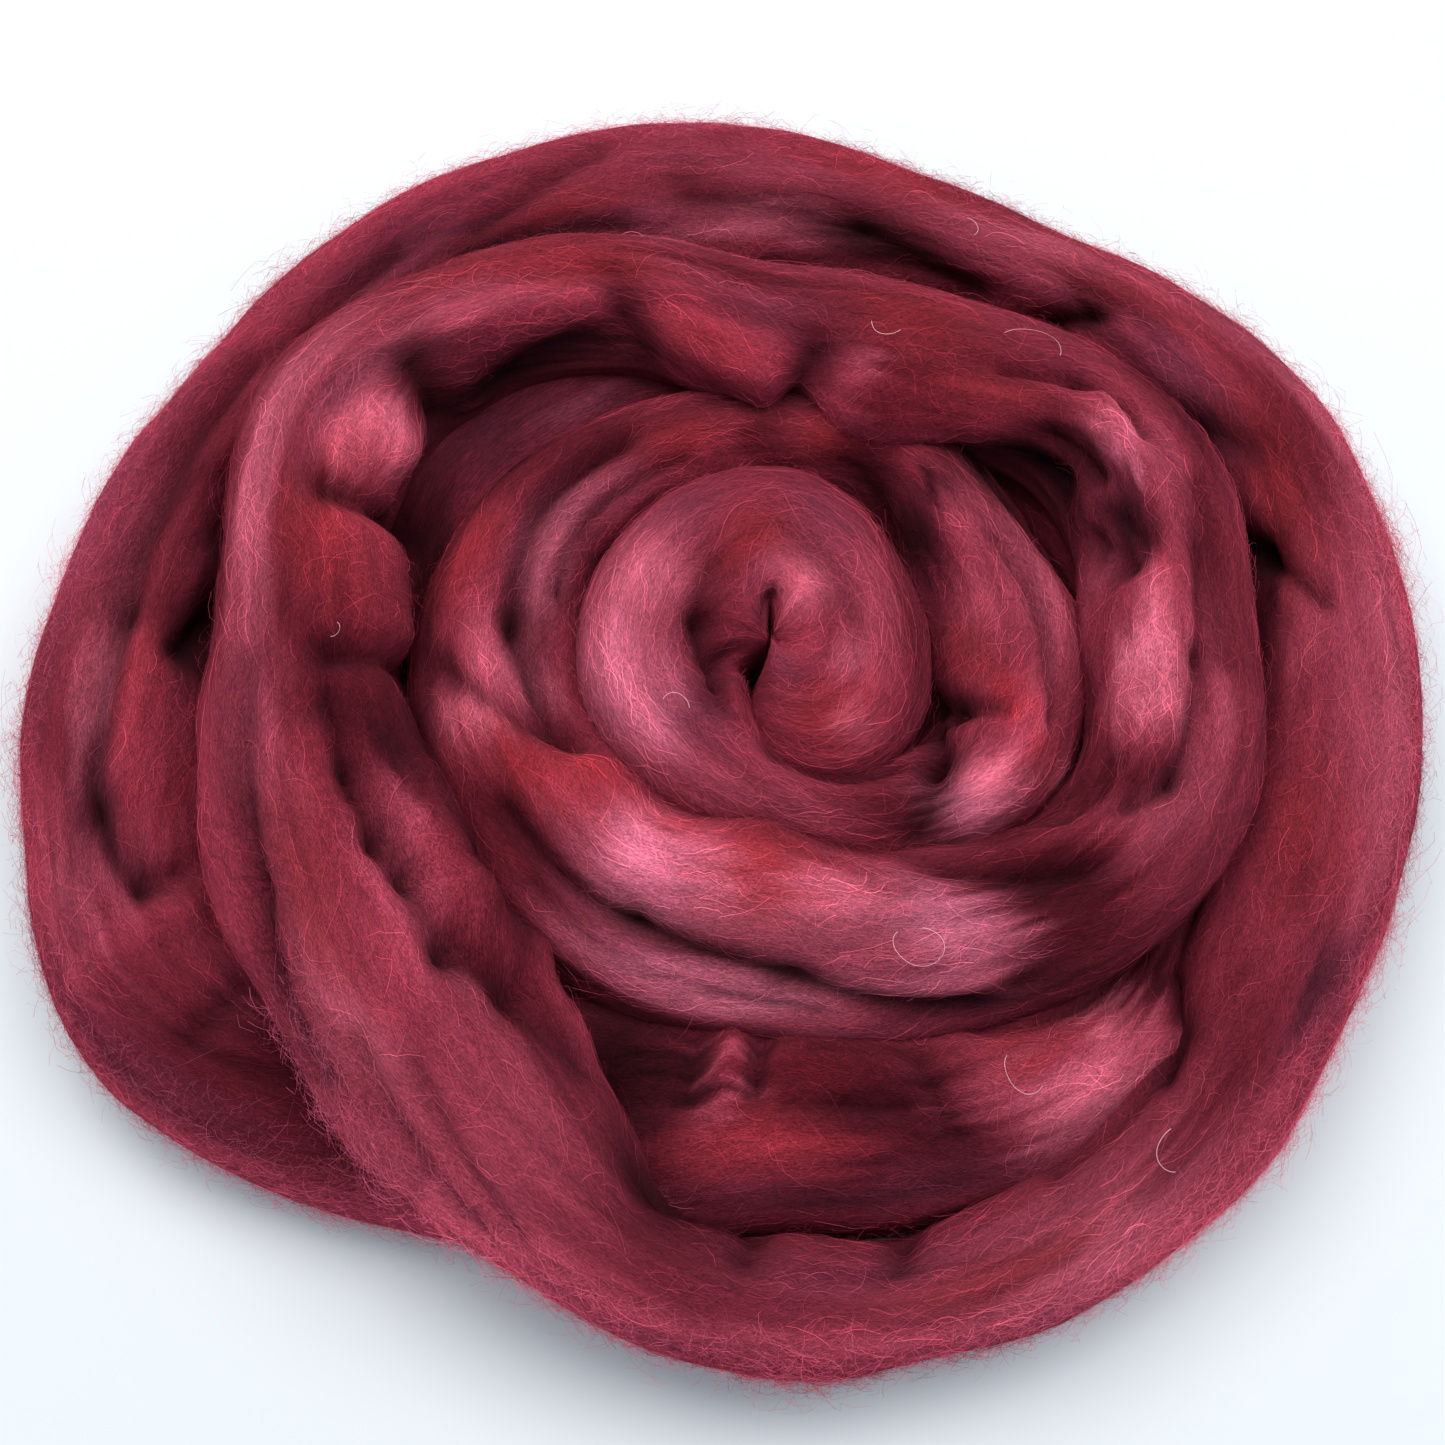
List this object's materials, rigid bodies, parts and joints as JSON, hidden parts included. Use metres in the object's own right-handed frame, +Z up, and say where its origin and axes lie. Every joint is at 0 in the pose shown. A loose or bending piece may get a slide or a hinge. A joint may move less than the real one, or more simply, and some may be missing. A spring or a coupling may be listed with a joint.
{
  "type": "wool combed top",
  "caption": "Loose coil of dyed wool combed top, one continuous soft rope of combed fibre laid flat for spinning or felting.",
  "frame": {"origin": "on the surface that the coil lies on, under the middle of its bounding box", "axes": "+Z up out of the surface, +X along the coil's longer side, -Y towards the front, where the outer turn passes over its own start"},
  "size_m": [0.514, 0.4912, 0.0898],
  "materials": {
    "dyed_wool": "soft matt combed fibre, hand dyed from pink through rose and brick to wine"
  },
  "bodies": {
    "root": {"combed_top": "dyed_wool"}
  },
  "joints": []
}
